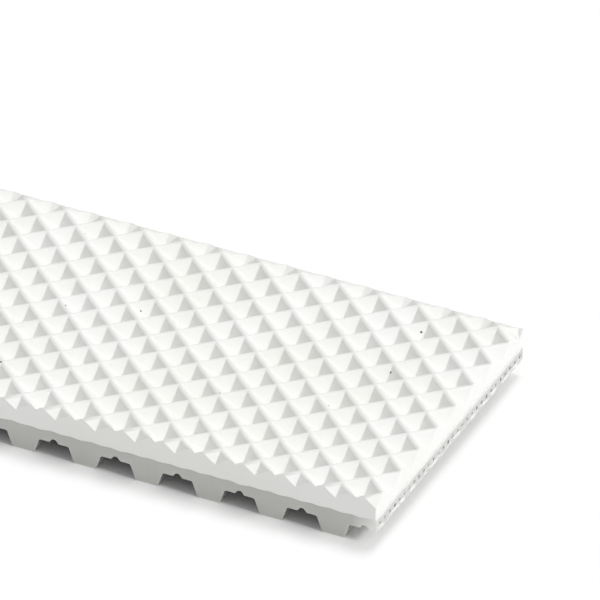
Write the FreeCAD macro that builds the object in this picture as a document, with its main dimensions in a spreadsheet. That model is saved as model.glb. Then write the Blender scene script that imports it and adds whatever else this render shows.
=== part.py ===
import FreeCAD, Part
import os

import Sketcher

# A cut length of coated timing belt, lying on its teeth.
# The frame: +X along the belt, +Y across it, +Z up. The origin is under the middle of the belt,
# in the plane of the tooth tips. The end at +X is cut just past the middle of a tooth gap.
doc = FreeCAD.newDocument("coated_timing_belt")
sheet = doc.addObject("Spreadsheet::Sheet", "sizes")

# Two levels or places closer than this are one.
SAME_PLACE = 1e-6

# Driving sizes, in millimetres and degrees.
DRIVING_SIZES = {
    "tooth_pitch": 10.0,
    "tooth_count": 10,
    "belt_width": 50.0,
    "back_thickness": 2.0,
    "tooth_height": 2.5,
    "tooth_root_width": 5.3,
    "flank_angle": 40.0,  # between the two flanks of one tooth
    "tooth_root_radius": 0.4,
    "tooth_tip_radius": 0.4,
    "end_land": 2.0,  # from the middle of the last gap to the cut end
    "nose_mouth": 1.5,  # the notch that a winding nose leaves in the root of each gap
    "nose_crown": 0.5,
    "nose_height": 0.6,
    "cord_count": 30,
    "cord_diameter": 0.6,
    "cord_edge": 1.1,  # from the side of the belt to the middle of the outermost cord
    "cord_lift": 1.0,  # from the root of the gaps up to the middle of the cords
    "cover_thickness": 3.5,
    "dent_pitch": 4.55,  # from ridge to ridge, square to the ridges
    "ridge_land": 0.4,
    "dent_depth": 2.2,
    "dent_from_end": 3.4,  # from the cut end to the middle of the dent in its near corner
    "dent_from_edge": 2.3,  # from the near side to the middle of that dent
}

# Sizes that follow from the driving ones.
DERIVED_SIZES = {
    "belt_length": "tooth_count * tooth_pitch",
    "belt_height": "back_thickness + tooth_height",
    "tooth_tip_width": "tooth_root_width - 2 * tooth_height * tan(flank_angle / 2)",
    "first_tooth": "tooth_pitch / 2 - end_land",
    "blank_start": "tooth_pitch + end_land",
    "blank_length": "(tooth_count + 2) * tooth_pitch",
    "cord_height": "tooth_height + cord_lift",
    "cord_band": "belt_width - 2 * cord_edge",
    "cord_spacing": "cord_band / (cord_count - 1)",
    "dent_mouth": "dent_pitch - ridge_land",
    "dent_diagonal": "dent_pitch * sqrt(2)",
    "dent_columns": "ceil(belt_length / dent_diagonal) + 3",
    "dent_rows": "ceil(belt_width / dent_diagonal) + 3",
    "cover_margin": "5 * dent_diagonal",
}


def fill_sheet():
    """Write every size into its own named cell."""
    cells = list(DRIVING_SIZES.items())
    cells += [(name, "=" + formula) for name, formula in DERIVED_SIZES.items()]
    for row, (name, content) in enumerate(cells, start=1):
        sheet.set(f"A{row}", name)
        sheet.set(f"B{row}", str(content))
        sheet.setAlias(f"B{row}", name)
    doc.recompute()


def bind(thing, **formulas):
    """Tie properties to the sheet; a double underscore in a name stands for a dot."""
    for name, formula in formulas.items():
        thing.setExpression(name.replace("__", "."), formula)


def new_body(label):
    body = doc.addObject("PartDesign::Body", label)
    body.Label = label
    return body


def origin_feature(body, role):
    """One of the body's own planes or axes."""
    return next(f for f in body.Origin.OriginFeatures if f.Role == role)


def new_sketch(body, name, plane, **offsets):
    """A sketch on one of the body's planes; the offsets x, y, z are along the sketch's own axes."""
    sketch = body.newObject("Sketcher::SketchObject", name)
    sketch.AttachmentSupport = [(origin_feature(body, plane), "")]
    sketch.MapMode = "FlatFace"
    for axis, formula in offsets.items():
        sketch.setExpression(f"AttachmentOffset.Base.{axis}", formula)
    return sketch


def named_size(sketch, name, formula, *constraint):
    """A driving constraint of a sketch, tied to the sheet."""
    index = sketch.addConstraint(Sketcher.Constraint(*constraint))
    sketch.renameConstraint(index, name)
    sketch.setExpression(f"Constraints.{name}", formula)


def add_loop(sketch, corners):
    """Straight lines from corner to corner, closed; returns the index of the first line."""
    first = sketch.GeometryCount
    points = [FreeCAD.Vector(x, y, 0) for x, y in corners]
    for start, end in zip(points, points[1:] + points[:1]):
        sketch.addGeometry(Part.LineSegment(start, end))
    count = len(points)
    for side in range(count):
        following = first + (side + 1) % count
        sketch.addConstraint(Sketcher.Constraint("Coincident", first + side, 2, following, 1))
    return first


def add_rectangle(sketch, name, width, height):
    """An upright rectangle of free place; returns its first line, which starts at its low corner."""
    first = add_loop(sketch, [(0, 0), (1, 0), (1, 1), (0, 1)])
    for side, direction in enumerate(("Horizontal", "Vertical", "Horizontal", "Vertical")):
        sketch.addConstraint(Sketcher.Constraint(direction, first + side))
    named_size(sketch, f"{name}_width", width, "DistanceX", first, 1, first, 2, 1.0)
    named_size(sketch, f"{name}_height", height, "DistanceY", first + 1, 1, first + 1, 2, 1.0)
    return first


def pin_to_origin(sketch, line, end):
    """Put one end of a line on the sketch's own origin."""
    sketch.addConstraint(Sketcher.Constraint("Coincident", line, end, -1, 1))


def add_trapezoid(sketch, low_width, high_width, height, low_level):
    """A trapezoid that is even about the sketch's upright axis, with level top and bottom."""
    first = add_loop(sketch, [(-2, 1), (2, 1), (1, 3), (-1, 3)])
    for side in (first, first + 2):
        sketch.addConstraint(Sketcher.Constraint("Symmetric", side, 1, side, 2, -2))
    named_size(sketch, "low_width", low_width, "DistanceX", first, 1, first, 2, 4.0)
    named_size(sketch, "high_width", high_width, "DistanceX", first + 2, 2, first + 2, 1, 2.0)
    named_size(sketch, "height", height, "DistanceY", first + 1, 1, first + 1, 2, 2.0)
    if low_level is None:
        sketch.addConstraint(Sketcher.Constraint("PointOnObject", first, 1, -1))
    else:
        named_size(sketch, "level", low_level, "DistanceY", -1, 1, first, 1, 1.0)


def add_pad(body, name, sketch, length, reverse=False):
    pad = body.newObject("PartDesign::Pad", name)
    pad.Profile = sketch
    pad.Reversed = reverse
    bind(pad, Length=length)
    return pad


def add_through_pocket(body, name, sketch):
    """A cut right through the body, both ways from its sketch."""
    pocket = body.newObject("PartDesign::Pocket", name)
    pocket.Profile = sketch
    pocket.SideType = "Symmetric"
    pocket.Type = "ThroughAll"
    return pocket


def add_row(body, name, original, axis, spacing, count):
    """Repeat a feature at even spacing along one of the body's axes."""
    row = body.newObject("PartDesign::LinearPattern", name)
    row.Originals = [original]
    row.Direction = (origin_feature(body, axis), [""])
    row.Mode = "Spacing"
    bind(row, Offset=spacing, Occurrences=count)
    body.Tip = row
    return row


def edges_across(shape, level):
    """Names of the edges that cross the belt at one level, clear of the ends of the blank."""
    names = []
    ends = (shape.BoundBox.XMin, shape.BoundBox.XMax)
    for number, edge in enumerate(shape.Edges, start=1):
        start, end = (vertex.Point for vertex in edge.Vertexes)
        crosses = abs(start.x - end.x) < SAME_PLACE and abs(start.z - end.z) < SAME_PLACE
        inside = all(abs(start.x - x) > SAME_PLACE for x in ends)
        if crosses and inside and abs(start.z - level) < SAME_PLACE:
            names.append(f"Edge{number}")
    return names


def round_edges(body, name, base, level, radius):
    doc.recompute()
    fillet = body.newObject("PartDesign::Fillet", name)
    fillet.Base = (base, edges_across(base.Shape, level))
    bind(fillet, Radius=radius)
    body.Tip = fillet
    return fillet


def place_on_belt(body, height):
    """Move a body from its own corner to its place about the middle of the belt."""
    bind(body, Placement__Base__x="-sizes.belt_length / 2")
    bind(body, Placement__Base__y="-sizes.belt_width / 2")
    bind(body, Placement__Base__z=height)


def make_belt_body():
    """Back and teeth in one piece: a long blank with teeth, notches and cord channels, cut to length."""
    body = new_body("belt_body")

    back_outline = new_sketch(
        body, "back_outline", "XY_Plane", x="-sizes.blank_start", z="sizes.tooth_height"
    )
    side = add_rectangle(back_outline, "back", "sizes.blank_length", "sizes.belt_width")
    pin_to_origin(back_outline, side, 1)
    add_pad(body, "back", back_outline, "sizes.back_thickness")

    tooth_outline = new_sketch(
        body, "tooth_outline", "XZ_Plane", x="sizes.first_tooth - sizes.tooth_pitch"
    )
    add_trapezoid(
        tooth_outline, "sizes.tooth_tip_width", "sizes.tooth_root_width", "sizes.tooth_height", None
    )
    tooth = add_pad(body, "tooth", tooth_outline, "sizes.belt_width", reverse=True)
    teeth = add_row(
        body, "teeth", tooth, "X_Axis", "sizes.tooth_pitch", "sizes.tooth_count + 2"
    )
    roots = round_edges(
        body, "tooth_roots", teeth, sheet.tooth_height, "sizes.tooth_root_radius"
    )
    round_edges(body, "tooth_tips", roots, 0.0, "sizes.tooth_tip_radius")

    nose_outline = new_sketch(body, "nose_outline", "XZ_Plane", x="-sizes.end_land")
    add_trapezoid(
        nose_outline, "sizes.nose_mouth", "sizes.nose_crown", "sizes.nose_height", "sizes.tooth_height"
    )
    nose = add_through_pocket(body, "nose_notch", nose_outline)
    add_row(body, "nose_notches", nose, "X_Axis", "sizes.tooth_pitch", "sizes.tooth_count + 1")

    channel_outline = new_sketch(
        body, "channel_outline", "YZ_Plane", x="sizes.cord_edge", y="sizes.cord_height"
    )
    channel_outline.addGeometry(Part.Circle(FreeCAD.Vector(), FreeCAD.Vector(0, 0, 1), 1.0))
    channel_outline.addConstraint(Sketcher.Constraint("Coincident", 0, 3, -1, 1))
    named_size(channel_outline, "bore", "sizes.cord_diameter", "Diameter", 0, 1.0)
    channel = add_through_pocket(body, "cord_channel", channel_outline)
    add_row(body, "cord_channels", channel, "Y_Axis", "sizes.cord_spacing", "sizes.cord_count")

    waste_outline = new_sketch(body, "waste_outline", "XZ_Plane")
    near_waste = add_rectangle(
        waste_outline, "near_waste", "sizes.blank_start", "sizes.belt_height"
    )
    pin_to_origin(waste_outline, near_waste, 2)
    far_waste = add_rectangle(
        waste_outline, "far_waste", "sizes.blank_start", "sizes.belt_height"
    )
    waste_outline.addConstraint(Sketcher.Constraint("PointOnObject", far_waste, 1, -1))
    named_size(
        waste_outline, "cut_length", "sizes.belt_length", "DistanceX", near_waste, 2, far_waste, 1, 1.0
    )
    body.Tip = add_through_pocket(body, "cut_to_length", waste_outline)

    place_on_belt(body, "0")
    return body


def add_dents(body, name, ahead):
    """A set of dents: square pyramids, point down, with their sides at 45 degrees to the belt.

    The first one lies ahead of the cut end and outside the near side; the rest follow it back along
    the belt and across it.
    """
    dent = body.newObject("PartDesign::SubtractiveWedge", f"{name}_dent")
    for side in ("X", "Z"):
        bind(dent, **{f"{side}min": "-sizes.dent_mouth / 2", f"{side}max": "sizes.dent_mouth / 2"})
        bind(dent, **{f"{side}2min": "0", f"{side}2max": "0"})
    bind(dent, Ymin="0", Ymax="sizes.dent_depth")
    point_down = FreeCAD.Rotation(FreeCAD.Vector(1, 0, 0), -90)
    turn = FreeCAD.Rotation(FreeCAD.Vector(0, 0, 1), 45)
    dent.Placement.Rotation = turn.multiply(point_down)
    bind(
        dent,
        Placement__Base__x=f"sizes.belt_length - sizes.dent_from_end + {ahead}",
        Placement__Base__y=f"sizes.dent_from_edge - {ahead}",
        Placement__Base__z="sizes.cover_thickness",
    )
    dents = add_row(
        body, f"{name}_dents", dent, "X_Axis", "sizes.dent_diagonal", "sizes.dent_columns"
    )
    dents.Reversed = True
    dents.Direction2 = (origin_feature(body, "Y_Axis"), [""])
    dents.Mode2 = "Spacing"
    bind(dents, Offset2="sizes.dent_diagonal", Occurrences2="sizes.dent_rows")


def make_cover():
    """The grip cover: a sheet with two sets of dents, half a diagonal apart, trimmed to the belt."""
    body = new_body("grip_cover")
    blank_outline = new_sketch(
        body, "blank_outline", "XY_Plane", x="-sizes.cover_margin", y="-sizes.cover_margin"
    )
    blank_sizes = (
        "sizes.belt_length + 2 * sizes.cover_margin",
        "sizes.belt_width + 2 * sizes.cover_margin",
    )
    blank = add_rectangle(blank_outline, "blank", *blank_sizes)
    pin_to_origin(blank_outline, blank, 1)
    add_pad(body, "blank", blank_outline, "sizes.cover_thickness")

    add_dents(body, "even", "sizes.dent_diagonal")
    add_dents(body, "odd", "sizes.dent_diagonal / 2")

    trim_outline = new_sketch(body, "trim_outline", "XY_Plane")
    cover = add_rectangle(trim_outline, "cover", "sizes.belt_length", "sizes.belt_width")
    pin_to_origin(trim_outline, cover, 1)
    waste = add_rectangle(trim_outline, "waste", *blank_sizes)
    for name, direction in (("waste_left", "DistanceX"), ("waste_near", "DistanceY")):
        named_size(
            trim_outline, name, "sizes.cover_margin", direction, waste, 1, cover, 1, 1.0
        )
    body.Tip = add_through_pocket(body, "trim", trim_outline)

    place_on_belt(body, "sizes.belt_height")
    return body


def make_cords():
    """Steel tension cords, side by side in their channels, from cut end to cut end."""
    cords = []
    for number in range(int(sheet.cord_count)):
        label = f"tension_cord_{number + 1:02d}"
        cord = doc.addObject("Part::Cylinder", label)
        cord.Label = label
        cord.Placement.Rotation = FreeCAD.Rotation(FreeCAD.Vector(0, 1, 0), 90)
        bind(cord, Radius="sizes.cord_diameter / 2", Height="sizes.belt_length")
        bind(cord, Placement__Base__x="-sizes.belt_length / 2")
        bind(cord, Placement__Base__y=f"{number} * sizes.cord_spacing - sizes.cord_band / 2")
        bind(cord, Placement__Base__z="sizes.cord_height")
        cords.append(cord)
    return cords


def check(pieces):
    """Stop if anything in the document failed, or a piece is not one sound solid."""
    for thing in doc.Objects:
        if {"Invalid", "Error"} & set(thing.State):
            raise RuntimeError(f"{thing.Label} failed: {thing.State}")
    for piece in pieces:
        shape = piece.Shape
        if shape.isNull() or not shape.isValid() or len(shape.Solids) != 1:
            raise RuntimeError(f"{piece.Label} is not one valid solid")


fill_sheet()
pieces = [make_belt_body(), make_cover(), *make_cords()]
doc.recompute()
check(pieces)
os.makedirs("parts", exist_ok=True)
for piece in pieces:
    piece.Shape.exportStep(f"parts/{piece.Label}.step")
    print(f"{piece.Label}: {piece.Shape.Volume:.2f} cubic mm")
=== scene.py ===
# %% [markdown]
# # A coated timing belt
# The belt is a cut length that lies on its teeth. Its body is pale grey polyurethane with steel
# cords inside, and on its back sits a soft white cover with pyramid dents set as diamonds.
# The measured model is loaded first, as a fixed frame, so each piece below goes where the frame says.

# %% Load the frame
import math
import random

import bmesh
import bpy
from mathutils import Matrix, Vector, noise


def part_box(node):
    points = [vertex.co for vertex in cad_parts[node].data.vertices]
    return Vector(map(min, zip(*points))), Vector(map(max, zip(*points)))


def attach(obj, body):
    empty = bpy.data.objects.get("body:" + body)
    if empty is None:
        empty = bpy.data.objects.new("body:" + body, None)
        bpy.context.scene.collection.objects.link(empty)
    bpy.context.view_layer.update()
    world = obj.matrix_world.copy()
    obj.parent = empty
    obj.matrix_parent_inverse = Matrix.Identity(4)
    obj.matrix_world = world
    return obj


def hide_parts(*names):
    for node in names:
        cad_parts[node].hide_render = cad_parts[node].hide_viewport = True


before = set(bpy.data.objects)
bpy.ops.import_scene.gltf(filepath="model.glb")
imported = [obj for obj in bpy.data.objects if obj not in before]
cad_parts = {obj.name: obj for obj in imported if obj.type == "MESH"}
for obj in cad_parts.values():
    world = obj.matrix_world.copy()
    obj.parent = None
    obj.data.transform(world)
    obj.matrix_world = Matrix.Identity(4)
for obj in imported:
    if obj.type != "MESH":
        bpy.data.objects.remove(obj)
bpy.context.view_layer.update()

MM = 0.001

# %% [markdown]
# ## Working in millimetres
# The frame is in metres, and the dents are a few millimetres wide. Operators such as bevel and
# bisect are easier to reason about at sizes near one, so each mesh is modelled in millimetres and
# scaled once, at the end. The scale goes into the mesh, so the object itself stays at the origin.
# X runs along the belt, Y across it, and the near side is the one with the smaller Y.

# %% Levels and edges of the belt, in millimetres
cover_low, cover_high = (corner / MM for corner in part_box("grip_cover"))
END = cover_high.x
SIDE = cover_high.y
COVER_TOP = cover_high.z
COVER_FOOT = cover_low.z
print("cover from", round(COVER_FOOT, 2), "to", round(COVER_TOP, 2))

# %% [markdown]
# ## Finishes
# Each finish is a Principled shader with a few texture nodes on Object coordinates. Object
# coordinates are in metres, so a texture scale of 1000 means one repeat in a millimetre. Values that
# are the same all over the surface are set on the shader's own sockets. Nodes can be added, set and
# linked one by one. The helpers here do all three in one line, so that a finish reads like a recipe.


# %% Helpers that add nodes
def new_finish(name):
    """A material with its node tree and its shader."""
    material = bpy.data.materials.new(name)
    material.use_nodes = True
    tree = material.node_tree
    return material, tree, tree.nodes["Principled BSDF"]


def plug(tree, socket, value):
    """Link a socket to the outlet of another node, or set it to a plain value."""
    if isinstance(value, bpy.types.NodeSocket):
        tree.links.new(value, socket)
    else:
        socket.default_value = value


def feed(tree, node, **values):
    """Plug values into a node by the names of its sockets, with an underscore for each blank."""
    for name, value in values.items():
        plug(tree, node.inputs[name.replace("_", " ")], value)


def add(tree, kind, outlet, **values):
    """Add a node, feed it and return one of its outlets."""
    node = tree.nodes.new(kind)
    feed(tree, node, **values)
    return node.outputs[outlet]


# %% Helpers for levels: uneven ones, sums and steps, a spread and a relief
def patches(tree, place, scale, detail, roughness):
    """An uneven level between zero and one, from a noise with so many repeats in a metre."""
    return add(
        tree, "ShaderNodeTexNoise", "Fac", Vector=place, Scale=scale, Detail=detail, Roughness=roughness
    )


def combine(tree, operation, *values):
    """The result of a math node on outlets and plain numbers."""
    node = tree.nodes.new("ShaderNodeMath")
    node.operation = operation
    for socket, value in zip(node.inputs, values):
        plug(tree, socket, value)
    return node.outputs["Value"]


def spread(tree, level, low, high):
    """A level between zero and one, spread from low to high."""
    return add(tree, "ShaderNodeMapRange", "Result", Value=level, To_Min=low, To_Max=high)


def relief(tree, height, strength, depth):
    """A surface normal that follows a height, for lines too fine to model."""
    return add(tree, "ShaderNodeBump", "Normal", Height=height, Strength=strength, Distance=depth)


# %% Helpers for colours. The mix node has sockets for many kinds of data, so colours go by number
MIX_GROUND = 6
MIX_COLOUR = 7
MIX_RESULT = 2


def rgba(colour):
    """Four values from a colour of three, or from a single grey."""
    if isinstance(colour, float):
        colour = (colour, colour, colour)
    return (*colour, 1.0)


def ramp(tree, level, *stops):
    """A colour that follows a level between two stops, each a place and a colour or grey."""
    node = tree.nodes.new("ShaderNodeValToRGB")
    plug(tree, node.inputs["Fac"], level)
    for element, (place, colour) in zip(node.color_ramp.elements, stops):
        element.position = place
        element.color = rgba(colour)
    return node.outputs["Color"]


def paint_over(tree, mask, ground, colour):
    """Lay a fixed colour over the ground, where the mask is one."""
    node = tree.nodes.new("ShaderNodeMix")
    node.data_type = "RGBA"
    plug(tree, node.inputs["Factor"], mask)
    plug(tree, node.inputs[MIX_GROUND], ground)
    plug(tree, node.inputs[MIX_COLOUR], rgba(colour))
    return node.outputs[MIX_RESULT]


# %% [markdown]
# ### White cover elastomer
# The cover is soft and matte, a warm white that varies very little. Up close it has the fine grain
# of the embossing roll, and a few dark specks of dust are pressed into it. The specks could be tiny
# pieces of their own. A Voronoi texture is lighter: it fills space with scattered points, and the
# surface shows a dot only where it passes close to one, so dots are few and differ in size.

# %% Cover colour, with specks
COVER_WHITE = (0.9, 0.9, 0.885)
COVER_WARM = (0.87, 0.87, 0.835)
COVER_TINTS = ((0.35, COVER_WHITE), (0.8, COVER_WARM))
COVER_CLOUDS = 90.0
SPECK_GREY = (0.12, 0.12, 0.11)
SPECK_CELL = 180.0
SPECK_REACH = 0.034

COVER_FINISH, cover_tree, cover_shader = new_finish("white_cover_elastomer")
cover_place = add(cover_tree, "ShaderNodeTexCoord", "Object")
cover_clouds = patches(cover_tree, cover_place, COVER_CLOUDS, detail=3.0, roughness=0.5)
cover_tint = ramp(cover_tree, cover_clouds, *COVER_TINTS)
to_speck = add(cover_tree, "ShaderNodeTexVoronoi", "Distance", Vector=cover_place, Scale=SPECK_CELL)
on_speck = combine(cover_tree, "LESS_THAN", to_speck, SPECK_REACH)
cover_colour = paint_over(cover_tree, on_speck, cover_tint, SPECK_GREY)
feed(cover_tree, cover_shader, Base_Color=cover_colour)
print("cells for specks are", round(1 / (SPECK_CELL * MM), 2), "mm wide")

# %% Cover grain and gloss
GRAIN_SCALE = 2600.0
GRAIN_STRENGTH = 0.12
GRAIN_DEPTH = 0.04 * MM
COVER_ROUGHNESS = (0.52, 0.66)

grain = patches(cover_tree, cover_place, GRAIN_SCALE, detail=4.0, roughness=0.6)
feed(
    cover_tree, cover_shader,
    Normal=relief(cover_tree, grain, GRAIN_STRENGTH, GRAIN_DEPTH),
    Roughness=spread(cover_tree, grain, *COVER_ROUGHNESS),
    IOR=1.45,
    Specular_IOR_Level=0.35,
)
print("cover finish:", len(cover_tree.nodes), "nodes")

# %% [markdown]
# ### Pale grey polyurethane
# The body is cast polyurethane, slightly cloudy and satin. Its long sides are slit and its ends are
# cut with a knife, while the teeth come smooth from the mould. The cut faces could be given a material
# of their own. One material with masks from the surface normal does the same and leaves the mesh as
# it is: a face whose normal lies along the belt is an end, and one whose normal is level is upright.

# %% Body colour
BODY_GREY = (0.57, 0.57, 0.545)
BODY_CLOUDY = (0.53, 0.53, 0.506)
BODY_TINTS = ((0.3, BODY_GREY), (0.75, BODY_CLOUDY))
BODY_CLOUDS = 140.0

BODY_FINISH, body_tree, body_shader = new_finish("pale_grey_polyurethane")
body_place = add(body_tree, "ShaderNodeTexCoord", "Object")
body_clouds = patches(body_tree, body_place, BODY_CLOUDS, detail=4.0, roughness=0.55)
body_colour = ramp(body_tree, body_clouds, *BODY_TINTS)
print("clouds in the body are", round(1 / (BODY_CLOUDS * MM), 1), "mm wide")


# %% Masks for the cut faces
END_FACING = 0.95
UPRIGHT_FACING = 0.1


def along(tree, vector, axis):
    """One coordinate of a vector."""
    return add(tree, "ShaderNodeSeparateXYZ", axis, Vector=vector)


def either_way(tree, vector, axis):
    """The size of one coordinate, whichever way it points from the middle of the belt."""
    return combine(tree, "ABSOLUTE", along(tree, vector, axis))


facing = add(body_tree, "ShaderNodeNewGeometry", "Normal")
on_end = combine(body_tree, "GREATER_THAN", either_way(body_tree, facing, "X"), END_FACING)
upright = combine(body_tree, "LESS_THAN", either_way(body_tree, facing, "Z"), UPRIGHT_FACING)
print("an end may lean by", round(math.degrees(math.acos(END_FACING))), "degrees")

# %% [markdown]
# At the ends the blade has to shear the cords too. Near the cut the plastic looks whiter for a few
# millimetres, where light that goes into the cut end comes out again through the cloudy plastic. That
# light is painted on as a paler colour, which fades in towards the end, and the clouds of the body make
# it uneven.

# %% Painted light behind the cut ends
END_LIGHT_WHITE = (0.88, 0.88, 0.86)
END_LIGHT_FROM = (END - 4.0) * MM
END_LIGHT_FULL = (END - 0.5) * MM
END_LIGHT_LEAST = 0.4


def fade(tree, level, start, full):
    """Nothing up to the start, and all from full on."""
    return add(tree, "ShaderNodeMapRange", "Result", Value=level, From_Min=start, From_Max=full)


end_light_fade = fade(body_tree, either_way(body_tree, body_place, "X"), END_LIGHT_FROM, END_LIGHT_FULL)
cloudy = combine(body_tree, "ADD", body_clouds, END_LIGHT_LEAST)
uneven = combine(body_tree, "MULTIPLY", end_light_fade, cloudy)
off_end = combine(body_tree, "SUBTRACT", 1.0, on_end)
painted_end_light = combine(body_tree, "MULTIPLY", uneven, off_end)
# Painted light: the body is made paler within a few millimetres of each cut end.
body_colour = paint_over(body_tree, painted_end_light, body_colour, END_LIGHT_WHITE)
print("bruises reach back, mm:", round(END - END_LIGHT_FROM / MM, 1))

# %% [markdown]
# The tooth gaps are nearly black towards their roots, darker than the shadow that the lamps give there.
# So the faces that look down get painted shade, a dark colour that grows with their height. It lies only
# in the whole gaps, away from the ends, where light is painted instead.

# %% Painted shade in the tooth gaps
GAP_SHADE_DARK = (0.05, 0.05, 0.046)
GAP_SHADE_FROM = 0.9 * MM
GAP_SHADE_FULL = 2.2 * MM
DOWN_FACING = -0.25

gap_shade_rise = fade(body_tree, along(body_tree, body_place, "Z"), GAP_SHADE_FROM, GAP_SHADE_FULL)
looks_down = combine(body_tree, "LESS_THAN", along(body_tree, facing, "Z"), DOWN_FACING)
whole_gaps = combine(body_tree, "COMPARE", along(body_tree, body_place, "X"), 0.0, END_LIGHT_FROM)
in_gaps = combine(body_tree, "MULTIPLY", looks_down, whole_gaps)
painted_gap_shade = combine(body_tree, "MULTIPLY", gap_shade_rise, in_gaps)
# Painted shade: the faces in the gap roots are darkened where only shadow falls.
body_colour = paint_over(body_tree, painted_gap_shade, body_colour, GAP_SHADE_DARK)
print("dust from", round(GAP_SHADE_FROM / MM, 1), "to", round(GAP_SHADE_FULL / MM, 1), "mm above the floor")

# %% [markdown]
# On the end faces the blade drags the plastic sideways. That leaves the face paler, with white smears
# below the cords and a few dark scars between them. A noise that is stretched across the belt makes
# all three: each kind of mark is painted between two levels of it, and its own mask says where.

# %% Torn ends
TORN_PALE = (0.66, 0.66, 0.64)
SMEAR_WHITE = (0.88, 0.88, 0.86)
SCAR_GREY = (0.2, 0.2, 0.195)
SCAR_REACH = 0.3 * MM
STREAK_SCALE = 1500.0
STREAK_STRETCH = (1.0, 0.3, 1.0)
TORN_STREAKS = ((0.35, 0.3), (0.6, 0.8))
SMEAR_STREAKS = ((0.48, 0.0), (0.54, 1.0))
SCAR_STREAKS = ((0.62, 0.0), (0.68, 1.0))
ANYWHERE = 1.0

cord_low, cord_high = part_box("tension_cord_01")
CORD_LEVEL = (cord_low.z + cord_high.z) / 2
dragged = add(body_tree, "ShaderNodeMapping", "Vector", Vector=body_place, Scale=STREAK_STRETCH)
streaks = patches(body_tree, dragged, STREAK_SCALE, detail=3.0, roughness=0.6)
height = along(body_tree, body_place, "Z")
below_cords = combine(body_tree, "LESS_THAN", height, CORD_LEVEL - SCAR_REACH)
between_cords = combine(body_tree, "COMPARE", height, CORD_LEVEL, SCAR_REACH)


def tear_ends(colour, mark, where, stops):
    """The colour of the body with one kind of mark on its ends, between two levels of the streaks."""
    strength = ramp(body_tree, streaks, *stops)
    mask = combine(body_tree, "MULTIPLY", where, on_end)
    return paint_over(body_tree, combine(body_tree, "MULTIPLY", strength, mask), colour, mark)


body_colour = tear_ends(body_colour, TORN_PALE, ANYWHERE, TORN_STREAKS)
body_colour = tear_ends(body_colour, SMEAR_WHITE, below_cords, SMEAR_STREAKS)
body_colour = tear_ends(body_colour, SCAR_GREY, between_cords, SCAR_STREAKS)
feed(body_tree, body_shader, Base_Color=body_colour)
print("scars at a height of, mm:", round(CORD_LEVEL / MM, 2))

# %% [markdown]
# The knife leaves fine lines along its way on all upright faces. They are far too fine to model, so a
# noise that is drawn out along the belt and across it, but not upwards, gives them as a relief. A
# little light gets into the plastic and out again beside, which softens its edges.

# %% Knife lines and gloss
KNIFE_LINES = 1800.0
KNIFE_STRETCH = (0.05, 0.05, 1.0)
KNIFE_STRENGTH = 0.2
KNIFE_DEPTH = 0.05 * MM
BODY_ROUGHNESS = (0.36, 0.5)

drawn_out = add(body_tree, "ShaderNodeMapping", "Vector", Vector=body_place, Scale=KNIFE_STRETCH)
lines = patches(body_tree, drawn_out, KNIFE_LINES, detail=3.0, roughness=0.6)
cut_lines = combine(body_tree, "MULTIPLY", lines, upright)
feed(
    body_tree, body_shader,
    Normal=relief(body_tree, cut_lines, KNIFE_STRENGTH, KNIFE_DEPTH),
    Roughness=spread(body_tree, body_clouds, *BODY_ROUGHNESS),
    IOR=1.49,
    Subsurface_Weight=0.5,
    Subsurface_Radius=(1.0, 1.0, 0.9),
    Subsurface_Scale=1.2 * MM,
)
print("body finish:", len(body_tree.nodes), "nodes")

# %% [markdown]
# ### Cut steel wire
# Only the cut ends of the cords show. They are bare steel, dulled by the shears, so the metal is dark
# and uneven. Each cord could have its own grey. A noise with patches about as wide as a cord does it
# with one material: some ends come out darker than others.

# %% Cord finish
STEEL_BRIGHT = (0.55, 0.55, 0.555)
STEEL_DULL = (0.1, 0.1, 0.105)
STEEL_TINTS = ((0.35, STEEL_DULL), (0.7, STEEL_BRIGHT))
STAIN_SCALE = 1300.0
STEEL_ROUGHNESS = (0.35, 0.6)

CORD_FINISH, cord_tree, cord_shader = new_finish("cut_steel_wire")
cord_place = add(cord_tree, "ShaderNodeTexCoord", "Object")
stain = patches(cord_tree, cord_place, STAIN_SCALE, detail=3.0, roughness=0.6)
feed(
    cord_tree, cord_shader,
    Base_Color=ramp(cord_tree, stain, *STEEL_TINTS),
    Roughness=spread(cord_tree, stain, *STEEL_ROUGHNESS),
    Metallic=1.0,
)
print("cord finish:", len(cord_tree.nodes), "nodes")

# %% [markdown]
# ## The grip cover
# On the real belt the cover is a soft sheet that a hot roll has embossed with square pyramids, point
# down, so that narrow ridges are left standing at 45 degrees to the belt. It could be made by cutting
# pyramids out of a slab. Here it grows from a plain grid instead, one face for each dent: a single
# inset with a depth sinks the middle of every face to the dent's floor and leaves four sloping walls.
# The diamonds measure slightly shorter across the belt than along it, as if the sheet had been pulled
# along the belt while it was pressed on, so the grid is narrowed by as much.

# %% Sizes of the dents, in millimetres
DENT_PITCH = 4.55
DENT_MOUTH = 4.15
DENT_DEPTH = 2.2
DENT_FLOOR = 0.12
DENT_FROM_END = 3.4
DENT_FROM_SIDE = 2.22
NARROWING = 0.965
DIAGONAL = DENT_PITCH * math.sqrt(2)
WALL_SLOPE = DENT_DEPTH / (DENT_MOUTH / 2)
WALL_ANGLE = math.atan(WALL_SLOPE)


def middle_dent():
    """The middle of the dent that lies nearest to the middle of the belt."""
    corner = Vector((END - DENT_FROM_END, -SIDE + DENT_FROM_SIDE, 0))
    row = DIAGONAL * NARROWING
    back = round(corner.x / DIAGONAL) * DIAGONAL
    across = round(-corner.y / row) * row
    return corner + Vector((-back, across, 0))


MIDDLE_DENT = middle_dent()
print("dent walls lean", round(math.degrees(WALL_ANGLE), 1), "degrees")

# %% [markdown]
# Embossed ridges have round backs. A bevel replaces each sharp ridge by an arc that touches both
# walls, and the arc's top lies below the sharp edge. The grid therefore starts a little above the
# cover's top, by just as much as the bevel takes away. Only the faces that the bevel makes are shaded
# smooth. Smooth walls would borrow the slopes of their neighbours at each corner and look hollow.

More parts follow.
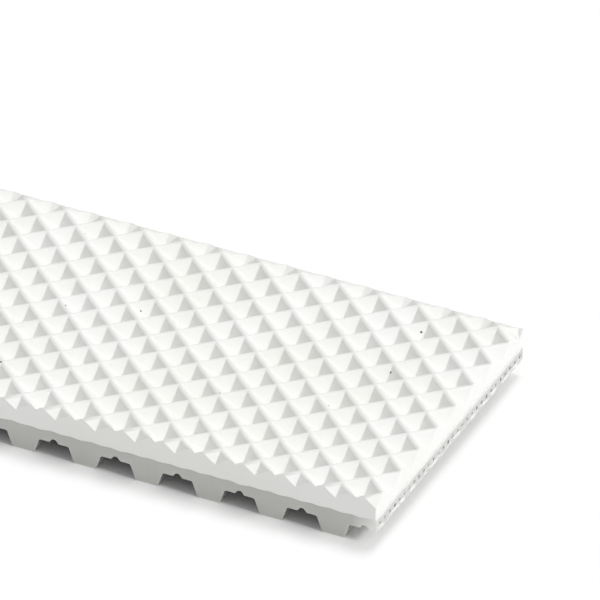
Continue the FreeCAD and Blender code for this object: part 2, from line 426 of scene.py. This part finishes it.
# %% Emboss a sheet that is larger than the belt
RIDGE_RADIUS = 0.52
RIDGE_STEPS = 5
RIDGE_LOSS = RIDGE_RADIUS * (1 / math.cos(WALL_ANGLE) - 1)
DIAMOND_TURN = math.radians(45)


def embossed_sheet():
    """A square sheet of dents, turned to diamonds and laid with its ridges at the cover's top."""
    reach = (END + SIDE) / math.sqrt(2) + 2 * DIAGONAL
    cells = 2 * math.ceil(reach / DENT_PITCH) + 1
    bm = bmesh.new()
    bmesh.ops.create_grid(bm, x_segments=cells, y_segments=cells, size=cells * DENT_PITCH / 2)
    ridges = bm.edges[:]
    wall = (DENT_PITCH - DENT_FLOOR) / 2
    bmesh.ops.inset_individual(
        bm, faces=bm.faces[:], thickness=wall, depth=-wall * WALL_SLOPE, use_even_offset=True
    )
    backs = bmesh.ops.bevel(
        bm, geom=[edge for edge in ridges if not edge.is_boundary],
        offset=RIDGE_RADIUS * math.tan(WALL_ANGLE), offset_type="OFFSET", segments=RIDGE_STEPS,
        profile=0.5, affect="EDGES", material=-1,
    )["faces"]
    for face in backs:
        face.smooth = True
    turn = Matrix.Rotation(DIAMOND_TURN, 4, "Z")
    narrow = Matrix.Scale(NARROWING, 4, (0, 1, 0))
    place = Matrix.Translation(MIDDLE_DENT + Vector((0, 0, COVER_TOP + RIDGE_LOSS)))
    bmesh.ops.transform(bm, matrix=place @ narrow @ turn, verts=bm.verts)
    print("dents in the sheet:", cells * cells, "ridges before rounding:", len(ridges))
    return bm


sheet = embossed_sheet()

# %% [markdown]
# A knife cuts the sheet to the size of the belt, straight through ridges and dents alike. Bisect
# does the same: each plane drops what lies outside it. At the ends the soft sheet springs back a
# little behind the body.

# %% Cut the sheet to size
SPRING_BACK = 0.25
CUT_END = END - SPRING_BACK
CUT_MERGE = 0.0001


def cut(bm, point, outwards, drop):
    """Cut the whole sheet along a plane, and drop what lies outside it if asked to."""
    bmesh.ops.bisect_plane(
        bm, geom=bm.verts[:] + bm.edges[:] + bm.faces[:], dist=CUT_MERGE,
        plane_co=point, plane_no=outwards, clear_outer=drop,
    )


for x, y in ((1, 0), (-1, 0), (0, 1), (0, -1)):
    cut(sheet, (x * CUT_END, y * SIDE, 0), (x, y, 0), drop=True)
print("faces of the sheet once cut:", len(sheet.faces))

# %% [markdown]
# The near side shows the dents cut open. On the far side the grey facets end along an almost straight
# line in the photograph, as if the embossing ran out at the edge of the sheet. A row of shallower
# dents could be modelled for it. Bending the last strip is enough: one more cut marks the strip, and
# the vertices on the edge are moved to a level that is a little higher at the dents than at the ridges.

# %% Level the rim on the far side
RIM_WIDTH = 1.1
RIM_LEVEL = COVER_TOP - 0.7
RIM_SWELL = 0.15
SAME_PLACE = 0.001


def on_far_side(v):
    return v.co.y > SIDE - SAME_PLACE


cut(sheet, (0, SIDE - RIM_WIDTH, 0), (0, 1, 0), drop=False)
far_rim = [v for v in sheet.verts if on_far_side(v)]
for v in far_rim:
    v.co.z = RIM_LEVEL + RIM_SWELL * (RIM_LEVEL - v.co.z)
heights = [v.co.z for v in far_rim]
print("far rim from", round(min(heights), 2), "to", round(max(heights), 2))

# %% [markdown]
# The rim that is left all round is extruded down to the body. The cover was pressed on hot, so its
# foot bulges by a hair's breadth and ends on the body's sides in a line that is not quite straight.
# A second and a third extrusion tuck the foot in again and seat it on the body's back, and a fill
# closes the underside.

# %% Where the foot of the cover ends
FOOT_DROP = 0.12
FOOT_WAVE = 0.07
FOOT_WANDER = 0.1
WAVES_IN_DENT = 2
WANDER_PACE = 0.3


def foot_level(point):
    """How low the foot of the cover hangs: wavy along the sides, straight across the ends."""
    if abs(abs(point.y) - SIDE) > SAME_PLACE:
        return COVER_FOOT - SAME_PLACE
    turns = WAVES_IN_DENT * (point.x - MIDDLE_DENT.x) / DIAGONAL
    wave = -FOOT_WAVE * math.sin(2 * math.pi * turns)
    wander = FOOT_WANDER * noise.noise((point.x * WANDER_PACE, point.y, 0))
    return COVER_FOOT - FOOT_DROP + wave + wander


print("foot below the cover, mm:", FOOT_DROP, "give or take", FOOT_WAVE + FOOT_WANDER)

# %% Close the sheet with a wavy foot
FOOT_BULGE = 0.03
RIM_CUTS = 2
UPRIGHT_WALL = 0.05


def open_rim(bm):
    return [edge for edge in bm.edges if edge.is_boundary]


def extrude_rim(bm):
    """Extrude the open rim in place and return its new vertices."""
    grown = bmesh.ops.extrude_edge_only(bm, edges=open_rim(bm))["geom"]
    return [part for part in grown if isinstance(part, bmesh.types.BMVert)]


bmesh.ops.subdivide_edges(sheet, edges=open_rim(sheet), cuts=RIM_CUTS)
for v in extrude_rim(sheet):
    v.co.z = foot_level(v.co)
    v.co.y *= 1 + FOOT_BULGE / SIDE
bmesh.ops.scale(sheet, vec=(1, SIDE / (SIDE + FOOT_BULGE), 1), verts=extrude_rim(sheet))
for v in extrude_rim(sheet):
    v.co.z = COVER_FOOT
bmesh.ops.edgeloop_fill(sheet, edges=open_rim(sheet))
bmesh.ops.recalc_face_normals(sheet, faces=sheet.faces)
for face in sheet.faces:
    if abs(face.normal.z) < UPRIGHT_WALL:
        face.smooth = False
print("open edges left:", len(open_rim(sheet)))

# %% [markdown]
# To match those facets the far rim also reaches out over the body, by less than a millimetre. That
# comes last, because the foot has to stay where it is: the side leans outwards, more the higher it gets.

# %% Lean the far side outwards
RIM_REACH = 0.7

for v in sheet.verts:
    if on_far_side(v) and v.co.z > COVER_FOOT:
        v.co.y += RIM_REACH * (v.co.z - COVER_FOOT) / (RIM_LEVEL - COVER_FOOT)
print("widest at, mm:", round(max(v.co.y for v in sheet.verts), 2))

# %% [markdown]
# The sheet is now a closed shell in millimetres. It becomes a piece of the belt: an object in metres
# that takes the place of the plain cover of the frame and goes wherever the belt goes. The cords need
# the same, so this is a function.


# %% Turn the sheet into a piece of the belt
def add_piece(name, bm, finish, slot, *nodes):
    """Store a millimetre bmesh as an object in metres that rides on the belt and stands for nodes."""
    bmesh.ops.scale(bm, vec=(MM, MM, MM), verts=bm.verts)
    mesh = bpy.data.meshes.new(name)
    bm.to_mesh(mesh)
    bm.free()
    mesh.materials.append(finish)
    piece = bpy.data.objects.new(name, mesh)
    bpy.context.scene.collection.objects.link(piece)
    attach(piece, "root")
    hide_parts(*nodes)
    return piece


print("cover volume, cubic mm:", round(sheet.calc_volume(), 1))
cover = add_piece("embossed_cover", sheet, COVER_FINISH, "cover_elastomer", "grip_cover")
print("cover faces:", len(cover.data.polygons))

# %% [markdown]
# ## The body
# The body is one casting, with the back and all the teeth in one. It could be extruded anew from its
# outline. Its teeth, notches and cord channels are exact in the frame already, so its own mesh stays
# and only gets its finish.

# %% Finish the body
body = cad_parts["belt_body"]
body.data.materials.clear()
body.data.materials.append(BODY_FINISH)
print("body keeps", len(body.data.polygons), "faces")

# %% [markdown]
# ## The tension cords
# Each cord is seven steel strands: one straight in the middle and six wound round it. In the body
# they lie in turn left-hand and right-hand, so that the belt runs straight. A strand could be a curve
# with a bevel. Here a small disc is spun round the cord's axis while it moves along, which is how
# the strand itself is laid.

# %% Lay one strand
STRAND_SIDES = 6
LAY_LENGTH = 9.0
STEPS_PER_LAY = 10


def lay_strand(bm, radius, offset, turn, hand):
    """One strand, from the left end of the belt to the right one, wound by its hand: 1, -1 or 0."""
    length = 2 * END
    angle = hand * 2 * math.pi * length / LAY_LENGTH
    steps = round(STEPS_PER_LAY * length / LAY_LENGTH) if hand else 1
    start = Matrix.Translation((-END, 0, 0))
    upright_disc = Matrix.Rotation(math.radians(90), 4, "Y")
    out = Matrix.Rotation(turn, 4, "X") @ Matrix.Translation((0, 0, offset))
    ring = bmesh.ops.create_circle(
        bm, cap_ends=True, segments=STRAND_SIDES, radius=radius, matrix=start @ out @ upright_disc
    )["verts"]
    disc = list({face for v in ring for face in v.link_faces})
    bmesh.ops.spin(
        bm, geom=disc, cent=(0, 0, 0), axis=(1, 0, 0), dvec=(length / steps, 0, 0),
        angle=angle, steps=steps, use_duplicate=False,
    )


print("turns of a strand in the belt:", round(2 * END / LAY_LENGTH, 1))

# %% Twist one cord for each hand
CORD_THICK = (cord_high - cord_low).z / MM
STRANDS_ROUND = 6
STRANDS_ABREAST = 3


def twist_cord(hand):
    """Seven strands along X through the origin, wound left or right by the hand's sign."""
    radius = CORD_THICK / (2 * STRANDS_ABREAST)
    bm = bmesh.new()
    lay_strand(bm, radius, 0.0, 0.0, 0)
    for k in range(STRANDS_ROUND):
        lay_strand(bm, radius, 2 * radius, 2 * math.pi * k / STRANDS_ROUND, hand)
    bmesh.ops.recalc_face_normals(bm, faces=bm.faces)
    return bm


twisted = [twist_cord(hand) for hand in (-1, 1)]
print("faces of a cord:", [len(bm.faces) for bm in twisted])

# %% [markdown]
# A copy of one cord or the other goes into every channel, each turned by chance so that no two ends
# look alike. The dots on the cut end are uneven in the photograph, as where a knife pulls some cords
# back while it shears them, so their ends lie at different depths in the body.

# %% Lay a cord along every channel
DEEPEST_END = 0.18
FULL_TURN = 2 * math.pi
chance = random.Random(11)


def make_cord(number, node):
    """A copy of a twisted cord in its channel, pulled back a little at both ends."""
    low, high = (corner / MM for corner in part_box(node))
    bm = twisted[number % 2].copy()
    turn = Matrix.Rotation(chance.uniform(0, FULL_TURN), 4, "X")
    right = chance.uniform(0, DEEPEST_END)
    left = chance.uniform(0, DEEPEST_END)
    shorten = Matrix.Scale(1 - (right + left) / (2 * END), 4, (1, 0, 0))
    place = Matrix.Translation((low + high) / 2 + Vector(((left - right) / 2, 0, 0)))
    bmesh.ops.transform(bm, matrix=place @ shorten @ turn, verts=bm.verts)
    return add_piece(f"stranded_cord_{number:02d}", bm, CORD_FINISH, "cord_steel", node)


channels = sorted(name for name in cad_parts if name.startswith("tension_cord"))
cords = [make_cord(number, node) for number, node in enumerate(channels, start=1)]
print("cords:", len(cords))

# %% [markdown]
# ## Stage and light
# The belt lies on a plain white floor under a white sky. The lamps stay just below the level at which
# white clips, so the floor adds a trace of its own white, which only the camera and mirrors see. There
# is none of it under the belt and close to its long sides, so the floor is left a little darker there:
# painted shade that deepens the shadows.

# %% Paint for the floor
WHITE = rgba(1.0)
OWN_WHITE = 0.05
ENDS_FADE = (END - 3.0, END + 1.0)
SIDES_FADE = (SIDE + 1.0, SIDE + 6.0)

FLOOR_PAINT, floor_tree, floor_shader = new_finish("white_floor_paint")
floor_place = add(floor_tree, "ShaderNodeTexCoord", "Object")
past_ends = fade(floor_tree, either_way(floor_tree, floor_place, "X"), *(x * MM for x in ENDS_FADE))
past_sides = fade(floor_tree, either_way(floor_tree, floor_place, "Y"), *(y * MM for y in SIDES_FADE))
# Painted shade: without the own white, the floor under and beside the belt stays darker.
beside = combine(floor_tree, "MAXIMUM", past_ends, past_sides)
ray = floor_tree.nodes.new("ShaderNodeLightPath").outputs
in_mirror = combine(floor_tree, "ADD", ray["Is Glossy Ray"], ray["Is Transmission Ray"])
in_view = combine(floor_tree, "ADD", ray["Is Camera Ray"], in_mirror)
seen = combine(floor_tree, "MULTIPLY", in_view, beside)
own_white = combine(floor_tree, "MULTIPLY", seen, OWN_WHITE)
feed(floor_tree, floor_shader, Base_Color=WHITE, Roughness=0.9, Specular_IOR_Level=0.1)
feed(floor_tree, floor_shader, Emission_Color=WHITE, Emission_Strength=own_white)
print("floor paint:", len(floor_tree.nodes), "nodes")

# %% Floor
FLOOR_HALF = 3.0

floor_grid = bmesh.new()
bmesh.ops.create_grid(floor_grid, x_segments=1, y_segments=1, size=FLOOR_HALF)
floor_mesh = bpy.data.meshes.new("white_floor")
floor_grid.to_mesh(floor_mesh)
floor_grid.free()
floor_mesh.materials.append(FLOOR_PAINT)
floor = bpy.data.objects.new("white_floor", floor_mesh)
bpy.context.scene.collection.objects.link(floor)
print("floor, m:", 2 * FLOOR_HALF)

# %% [markdown]
# One broad lamp stands low on the right, before the cut end, and one hangs high behind the belt. So
# the dent walls that face right are white, those that face left fall into a light grey, and the near
# side has a soft shadow. Area lamps close by would light one end more than the other, so both lamps
# are suns, as wide as a soft box looks from the belt.

# %% Sky and lamps
SKY_LEVEL = 0.49
RIGHT_LAMP = dict(level=1.38, width=14, azimuth=-3, elevation=36)
BACK_LAMP = dict(level=0.74, width=24, azimuth=90, elevation=70)

world = bpy.data.worlds.new("white_sky")
bpy.context.scene.world = world
world.use_nodes = True
feed(world.node_tree, world.node_tree.nodes["Background"], Color=WHITE, Strength=SKY_LEVEL)


def hang_lamp(name, level, width, azimuth, elevation):
    """A broad far lamp. Azimuth is counted from the right end of the belt towards its far side."""
    lamp_data = bpy.data.lights.new(name, "SUN")
    lamp_data.energy = level
    lamp_data.angle = math.radians(width)
    lamp = bpy.data.objects.new(name, lamp_data)
    turn = Matrix.Rotation(math.radians(azimuth), 4, "Z")
    rise = Matrix.Rotation(math.radians(90 - elevation), 4, "Y")
    lamp.matrix_world = turn @ rise
    bpy.context.scene.collection.objects.link(lamp)


hang_lamp("right_lamp", **RIGHT_LAMP)
hang_lamp("back_lamp", **BACK_LAMP)
bpy.context.scene.view_settings.view_transform = "Standard"
print("levels of sky and lamps:", SKY_LEVEL, RIGHT_LAMP["level"], BACK_LAMP["level"])

# %% [markdown]
# ## Camera
# The photograph was taken from far away with a long lens, from before the near side of the belt,
# some way towards its right end, and from above. The camera is turned about the point that it looks
# at, by azimuth, elevation and a slight roll.

# %% Camera
VIEW_AZIMUTH = math.radians(25.379)
VIEW_ELEVATION = math.radians(33.557)
VIEW_ROLL = math.radians(-0.415)
VIEW_AIM = Vector((14.832, 22.67, 4.0)) * MM
VIEW_DISTANCE = 2.0
VIEW_LIMIT = 20.0
SENSOR_WIDTH = 36.0
IMAGE_SIDE = 600
FOCAL_PIXELS = 13553.0

camera_data = bpy.data.cameras.new("long_lens")
camera_data.sensor_width = SENSOR_WIDTH
camera_data.lens = FOCAL_PIXELS * SENSOR_WIDTH / IMAGE_SIDE
camera_data.clip_end = VIEW_LIMIT
camera = bpy.data.objects.new("long_lens", camera_data)
bpy.context.scene.collection.objects.link(camera)
camera.matrix_world = (
    Matrix.Translation(VIEW_AIM)
    @ Matrix.Rotation(VIEW_AZIMUTH, 4, "Z")
    @ Matrix.Rotation(math.radians(90) - VIEW_ELEVATION, 4, "X")
    @ Matrix.Rotation(-VIEW_ROLL, 4, "Z")
    @ Matrix.Translation((0, 0, VIEW_DISTANCE))
)
bpy.context.scene.camera = camera
print("lens, mm:", round(camera_data.lens, 1))
